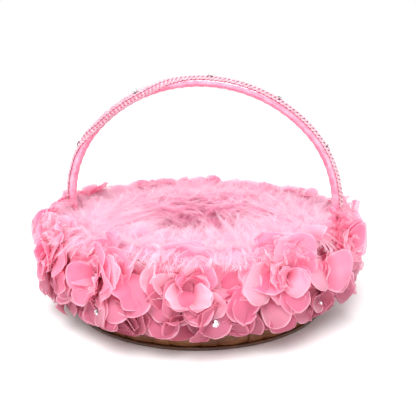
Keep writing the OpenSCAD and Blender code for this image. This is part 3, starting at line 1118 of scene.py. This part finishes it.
def add_stones(name, seats, material, seed):
    """All stones of one node; a seat is (place of the back's middle, outward normal)."""
    rng = np.random.default_rng(seed)
    points, painted_glints, offset = [], [], 0
    faces = {3: [], 4: [], STONE_SIDES: []}
    for place, normal in seats:
        side = unit(np.cross(normal, np.array([0.3, 0.2, 1.0])))
        other = np.cross(normal, side)
        facets, facet_glints = stone_mesh(rng)
        for facet, tone in zip(facets, facet_glints):
            flat = STONE_R * (facet[:, :1] * side + facet[:, 1:2] * other)
            points.append(place + flat + STONE_H * facet[:, 2:] * normal)
            # Each facet keeps its painted reflection tone.
            painted_glints.append(tone)
            faces[len(facet)].append(np.arange(len(facet)) + offset)
            offset += len(facet)
    add_piece(name + "_faceted", "crystal", name, np.vstack(points), list(faces.values()),
              material, None, np.concatenate(painted_glints), smooth=False)


def add_handle_stones(material):
    """Seats each stone at its CAD place, facing away from the rod."""
    _, line = ARCH.samples(STONE_SAMPLES)
    seats = []
    for group in clusters(node_points("handle_rhinestones"), STONE_APART):
        middle = (group.max(0) + group.min(0)) / 2
        spot = line[np.argmin(((line - middle) ** 2).sum(1))]
        normal = unit(middle - spot)
        seats.append((spot + normal * ((group - spot) @ normal).min(), normal))
    add_stones("handle_rhinestones", seats, material, seed=71)


def add_flower_stones(flowers, material):
    """Sets each stone on the outermost petal in front of its CAD place."""
    graph = bpy.context.evaluated_depsgraph_get()
    trees = [BVHTree.FromObject(piece, graph) for piece in flowers]
    seats = []
    for group in clusters(node_points("flower_rhinestones"), STONE_APART):
        middle = group.mean(0)
        outward = unit(middle * np.array([1, 1, 0]))
        middle = middle + STONE_RISE * UP
        toward = unit(outward + 0.5 * UP)
        hits = [tree.ray_cast(Vector(middle + RAY_FROM * toward), Vector(-toward)) for tree in trees]
        if all(hit[0] is None for hit in hits):
            hits = [tree.find_nearest(Vector(middle + NEAR_FROM * toward)) for tree in trees]
        first = min((hit for hit in hits if hit[0] is not None), key=lambda hit: hit[3])
        normal = np.array(first[1])
        normal = unit(normal * np.sign(normal @ outward) + 0.6 * outward)
        seats.append((np.array(first[0]) + STONE_LIFT * normal, normal))
    add_stones("flower_rhinestones", seats, material, seed=72)


# ---- woven wall

STAKES = 40
STAKE_WIDTH = 12.5 * MM
STAKE_LEVELS = 48
STAKE_SHORT = 0.3 * MM
ROWS = 6
ROW_STEPS = STAKES * 12
SPLINT_SHARE = 0.94
SPLINT_T = 1.0 * MM
WEAVE = 0.85 * MM


def strip_section(width, thick):
    """Rounded flat section, as offsets across it and out of it."""
    w, t = width / 2, thick / 2
    return np.array([
        [-w, -0.5 * t], [-w + t, -t], [0, -1.15 * t], [w - t, -t], [w, -0.5 * t],
        [w, 0.5 * t], [w - t, t], [0, 1.15 * t], [-w + t, t], [-w, 0.5 * t],
    ]).T


def add_wall():
    """Six rows of wide splint woven in and out of forty stakes."""
    pitch = (WALL.high_z - WALL.low_z) / ROWS
    middle = WALL.thick / 2
    width, depth = strip_section(pitch * SPLINT_SHARE, SPLINT_T)
    row = np.arange(ROWS)[:, None, None]
    a = circle(ROW_STEPS)[:, None]
    z = WALL.low_z + (row + 0.5) * pitch
    out = depth + WEAVE * np.sin(STAKES / 2 * a + row * math.pi)
    r = WALL.outer(z) - middle + width * math.sin(WALL.tilt) + out * math.cos(WALL.tilt)
    h = z + width * math.cos(WALL.tilt) - out * math.sin(WALL.tilt)
    rows = round_points(r, a, h).reshape(-1, 3)
    row_size = ROW_STEPS * len(width)
    quads = grid_faces(ROW_STEPS + 1, len(width), loop=True) % row_size
    faces = [quads + first for first in range(0, len(rows), row_size)]
    width, depth = strip_section(STAKE_WIDTH, SPLINT_T)
    stake = np.arange(STAKES)[:, None, None]
    z = np.linspace(WALL.low_z + STAKE_SHORT, WALL.high_z - STAKE_SHORT, STAKE_LEVELS)[:, None]
    swing = -WEAVE * np.cos(math.pi * ((z - WALL.low_z) / pitch - 0.5) + math.pi * stake)
    r = WALL.outer(z) - middle + depth + swing
    stakes = round_points(r, TAU * (stake + 0.5) / STAKES + np.arcsin(width / r), z).reshape(-1, 3)
    faces.append(grid_faces(STAKE_LEVELS, len(width), STAKES, loop=True) + len(rows))
    add_piece("woven_wall_splints", "bowl_wood", "woven_wall", np.vstack([rows, stakes]), faces,
              varnished_wood("splint_wood", SPLINT_WOOD, (1, 1, 5)))


# ---- lining

PLEAT_COUNT = 84
PLEAT_STEPS = 8
LINER_ROWS = 34
LINER_PLEAT = 0.5 * MM
LINER_GAP = 0.75 * MM
TURNOVER_ROWS = 9
TURNOVER_WAVE = 0.12 * MM
TURNOVER_DROP = 0.3 * MM

PAD_SIDES = 128
PAD_RINGS = 25
PAD_EDGE = 0.93
PAD_PUFF = 0.28
PAD_PUCKERS = 22
PAD_PUCKER = 0.16 * MM
TUFT_DEPTH = 0.35 * MM
TUFT_R = 0.04
PAD_LIFT = 0.02 * MM


def add_liner(material):
    """The satin skin inside the wall, gathered into soft pleats and turned over the rim."""
    low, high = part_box("satin_liner")
    steps = PLEAT_COUNT * PLEAT_STEPS
    a = circle(steps)
    pleats = np.sin(PLEAT_COUNT * a + 0.5 * np.sin(7 * a + 1) + 0.4 * np.sin(11 * a + 2))
    rise = np.linspace(low[2], high[2], LINER_ROWS)[:, None]
    share = (rise - low[2]) / (high[2] - low[2])
    skin = WALL.inner(np.minimum(rise, WALL.high_z)) - LINER_GAP
    depth = LINER_PLEAT * (0.6 + 0.4 * np.sin(13 * a + 0.5)) * (0.35 + 0.65 * share)
    over = np.linspace(0, 1, TURNOVER_ROWS + 1)[1:, None]
    top_r = skin[-1] + (high[0] - skin[-1]) * over
    top_z = high[2] + TURNOVER_WAVE * pleats - TURNOVER_DROP * over ** 4
    radius = np.vstack([skin + depth * pleats, top_r + 0 * a])
    points = round_points(radius, a, np.vstack([rise + 0 * a, top_z]))
    count = len(points)
    piece = add_piece(
        "satin_liner_gathered", "lining_satin", "satin_liner", points,
        [grid_faces(count, steps, loop=True)[:, ::-1]], material,
        stacked(a / TAU, np.linspace(0, 1, count)[:, None]),
    )


def add_floor_pad(material):
    """The padded disc on the base board, puffed between a turned edge and a tufted middle."""
    low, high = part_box("liner_floor")
    outer, thick, middle = high[0], high[2] - low[2], (low[2] + high[2]) / 2
    a = circle(PAD_SIDES)
    t = np.linspace(0, 1, PAD_RINGS + 1)[1:, None]
    rounding = (1 - ((t - PAD_EDGE) / (1 - PAD_EDGE)).clip(0, 1) ** 2) ** 0.5
    puff = 0.5 * thick * (1 + PAD_PUFF * np.sin(math.pi * t) ** 2)
    half = np.minimum(thick * rounding, puff) * np.where(t < PAD_EDGE, 1, rounding)
    pucker = PAD_PUCKER * np.sin(PAD_PUCKERS * a) * ease((t - 0.55) / 0.35) * (t < PAD_EDGE)
    top = middle + half - TUFT_DEPTH * np.exp(-(t / TUFT_R) ** 2) + pucker
    top = np.where(t >= 1, middle, top)
    flat = low[2] + PAD_LIFT
    under = flat + (middle - flat) * ease((t - 0.95) / 0.05)
    upper = round_points(outer * t, a, top).reshape(-1, 3)
    lower = round_points(outer * t, a, under)[:-1].reshape(-1, 3)
    hubs = [[0, 0, middle + thick / 2 - TUFT_DEPTH], [0, 0, flat]]
    points = np.vstack([upper, lower, hubs])
    count, total = len(upper), len(points)
    i = np.arange(PAD_SIDES)
    j = (i + 1) % PAD_SIDES
    upper_edge, lower_edge = count - PAD_SIDES, total - 2 - PAD_SIDES
    seam = np.stack([lower_edge + i, lower_edge + j, upper_edge + j, upper_edge + i], -1)
    faces = [
        grid_faces(PAD_RINGS, PAD_SIDES, loop=True)[:, ::-1],
        grid_faces(PAD_RINGS - 1, PAD_SIDES, loop=True) + count,
        seam,
        fan_faces(total - 2, PAD_SIDES),
        fan_faces(total - 1, PAD_SIDES, count)[:, [0, 2, 1]],
    ]
    piece = add_piece("liner_floor_pad", "lining_satin", "liner_floor", points, faces, material,
                      points[:, :2] / outer / 2 + 0.5)


# ---- the whole scene

add_camera()
add_light()
add_floor()
dress_frame()
stone_material = crystal()
flowers = add_flowers(UPPER_ROW) + add_flowers(LOWER_ROW)
add_flower_stones(flowers, stone_material)
add_trims()
add_handle_satin()
add_braid()
add_handle_stones(stone_material)
add_wall()
lining = satin("lining_satin", LINING_PINKS, 70)
add_liner(lining)
add_floor_pad(lining)
